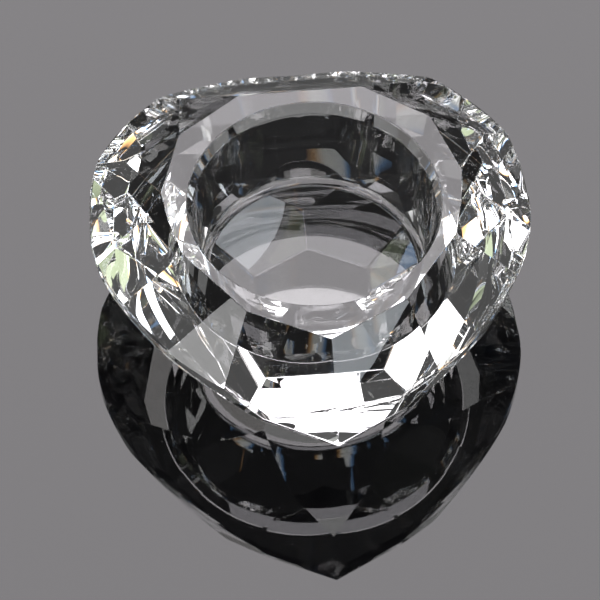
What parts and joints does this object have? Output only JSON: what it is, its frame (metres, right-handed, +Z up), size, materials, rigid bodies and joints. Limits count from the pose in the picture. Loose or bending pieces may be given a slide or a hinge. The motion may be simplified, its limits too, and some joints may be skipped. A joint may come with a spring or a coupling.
{
  "type": "tealight holder",
  "caption": "Heart-shaped tealight holder ground from clear glass, with a faceted crown and underside and a round candle cup.",
  "frame": {"origin": "under the middle of the outline, on the plane of the flat base", "axes": "+Z up, parallel to the candle cup's axis; the point of the heart looks towards -Y; the two halves mirror each other across X = 0"},
  "size_m": [0.0792, 0.0818, 0.034],
  "materials": {
    "clear_glass": "clear, ground in flat facets and polished all over"
  },
  "bodies": {
    "root": {"crystal_heart": "clear_glass"}
  },
  "joints": []
}
